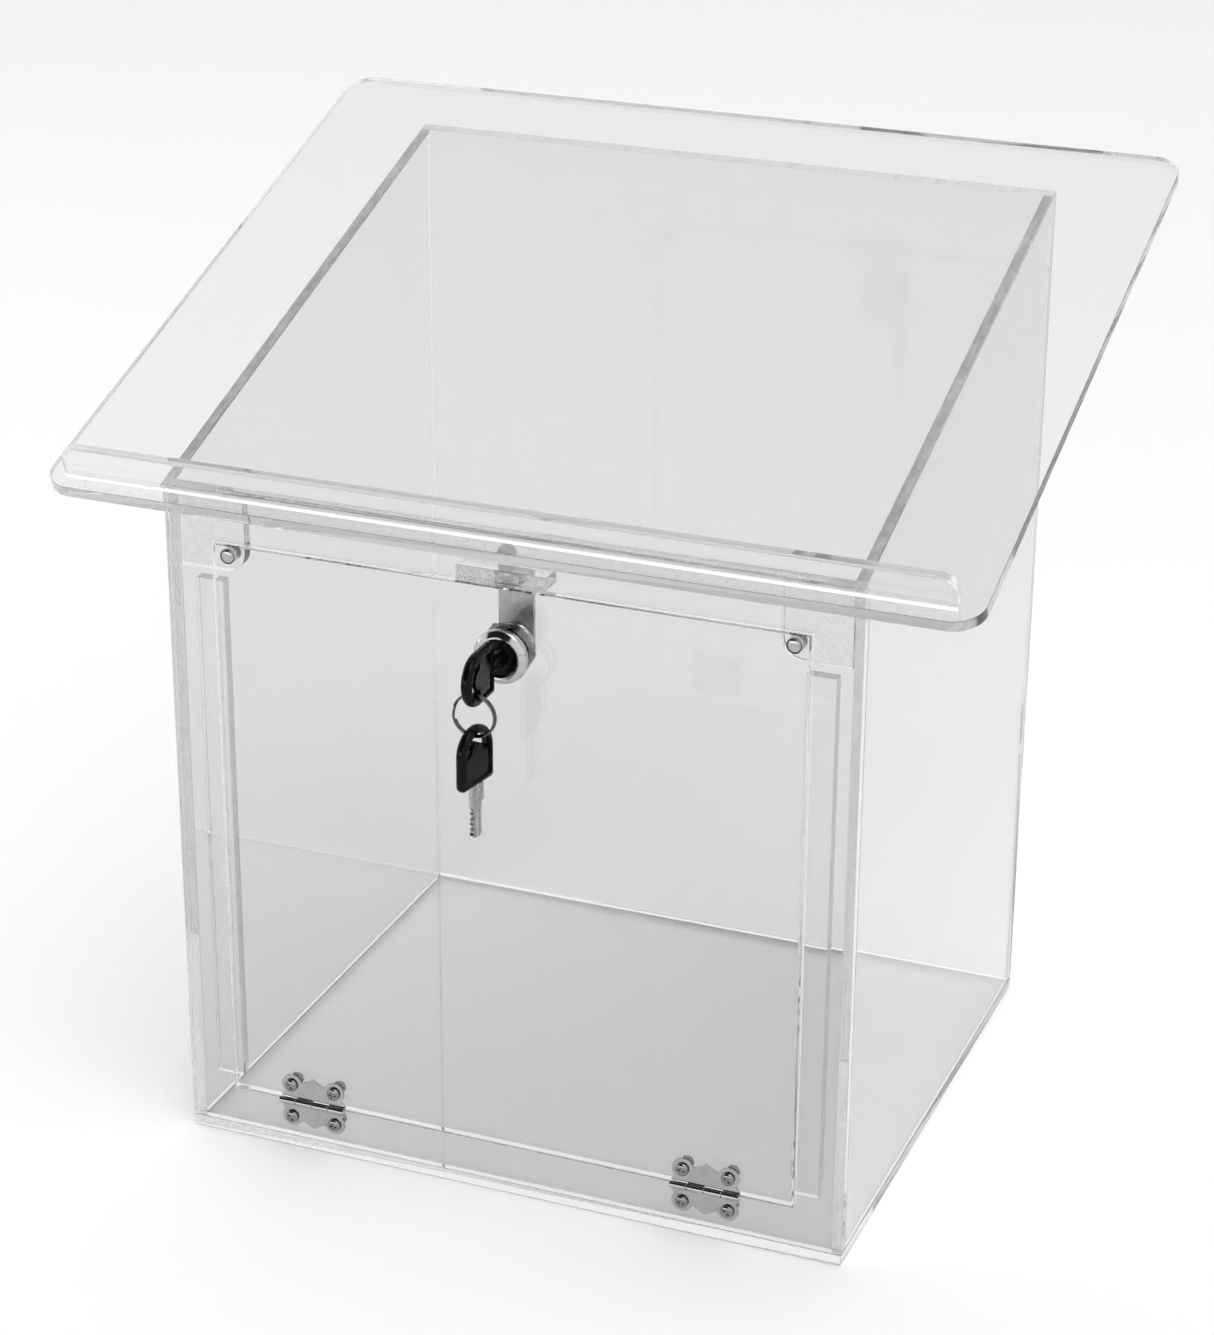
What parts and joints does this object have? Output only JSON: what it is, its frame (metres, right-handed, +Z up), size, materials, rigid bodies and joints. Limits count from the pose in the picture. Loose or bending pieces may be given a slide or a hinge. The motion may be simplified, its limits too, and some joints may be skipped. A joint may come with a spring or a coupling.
{
  "type": "donation box",
  "caption": "Clear acrylic donation box with a sloping lectern top and paper ledge, bottom-hinged front door, cam lock and keys on a ring.",
  "frame": {"origin": "centre of the underside of the base, on the surface that the box stands on", "axes": "+Z up, -Y towards the door at the front, +X to the right of somebody who faces the door"},
  "size_m": [0.404, 0.3336, 0.4091],
  "materials": {
    "clear_acrylic": "polished",
    "hinge_steel": "satin",
    "screw_steel": "gloss",
    "key_steel": "gloss",
    "cam_steel": "satin",
    "lock_chrome": "polished",
    "magnet": "polished",
    "nut_zinc": "satin",
    "black_plug": "gloss",
    "black_plastic": "satin"
  },
  "bodies": {
    "case": {"base_plate": "clear_acrylic", "front_frame": "clear_acrylic", "back_panel": "clear_acrylic", "left_side_panel": "clear_acrylic", "right_side_panel": "clear_acrylic", "top_panel": "clear_acrylic", "paper_ledge": "clear_acrylic", "door_stop_left": "clear_acrylic", "door_stop_right": "clear_acrylic", "corner_gusset_left": "clear_acrylic", "corner_gusset_right": "clear_acrylic", "cam_keeper": "clear_acrylic", "frame_magnet_left": "magnet", "frame_magnet_right": "magnet", "hinge_left_frame_leaf": "hinge_steel", "hinge_right_frame_leaf": "hinge_steel", "hinge_left_pin": "hinge_steel", "hinge_right_pin": "hinge_steel", "frame_screw_left_a": "screw_steel", "frame_screw_left_b": "screw_steel", "frame_screw_right_a": "screw_steel", "frame_screw_right_b": "screw_steel", "frame_nut_left_a": "screw_steel", "frame_nut_left_b": "screw_steel", "frame_nut_right_a": "screw_steel", "frame_nut_right_b": "screw_steel"},
    "door": {"door_panel": "clear_acrylic", "door_magnet_left": "magnet", "door_magnet_right": "magnet", "hinge_left_door_leaf": "hinge_steel", "hinge_right_door_leaf": "hinge_steel", "door_screw_left_a": "screw_steel", "door_screw_left_b": "screw_steel", "door_screw_right_a": "screw_steel", "door_screw_right_b": "screw_steel", "door_nut_left_a": "screw_steel", "door_nut_left_b": "screw_steel", "door_nut_right_a": "screw_steel", "door_nut_right_b": "screw_steel", "lock_body": "lock_chrome", "lock_nut": "nut_zinc"},
    "plug": {"lock_plug": "black_plug", "lock_cam": "cam_steel", "cam_nut": "screw_steel"},
    "key": {"key_blade": "key_steel", "key_bow": "black_plastic"},
    "ring": {"key_ring": "key_steel"},
    "spare_key": {"spare_key_blade": "key_steel", "spare_key_bow": "black_plastic"}
  },
  "joints": [
    {"name": "door_hinge", "type": "hinge", "parent": "case", "child": "door", "pos_m": [0, -0.1339, 0.0236], "axis": [1, 0, 0], "range_deg": [0, 90]},
    {"name": "lock_turn", "type": "hinge", "parent": "door", "child": "plug", "pos_m": [0, -0.132, 0.2535], "axis": [0, 1, 0], "range_deg": [0, 90]},
    {"name": "key_pull", "type": "slide", "parent": "plug", "child": "key", "axis": [0, -1, 0], "range_m": [0, 0.03]},
    {"name": "ring_swing", "type": "hinge", "parent": "key", "child": "ring", "pos_m": [0, -0.1605, 0.2475], "axis": [-1, 0, 0], "range_deg": [-10, 60]},
    {"name": "spare_key_swing", "type": "hinge", "parent": "ring", "child": "spare_key", "pos_m": [0, -0.1605, 0.2295], "axis": [-1, 0, 0], "range_deg": [-8, 60]}
  ]
}
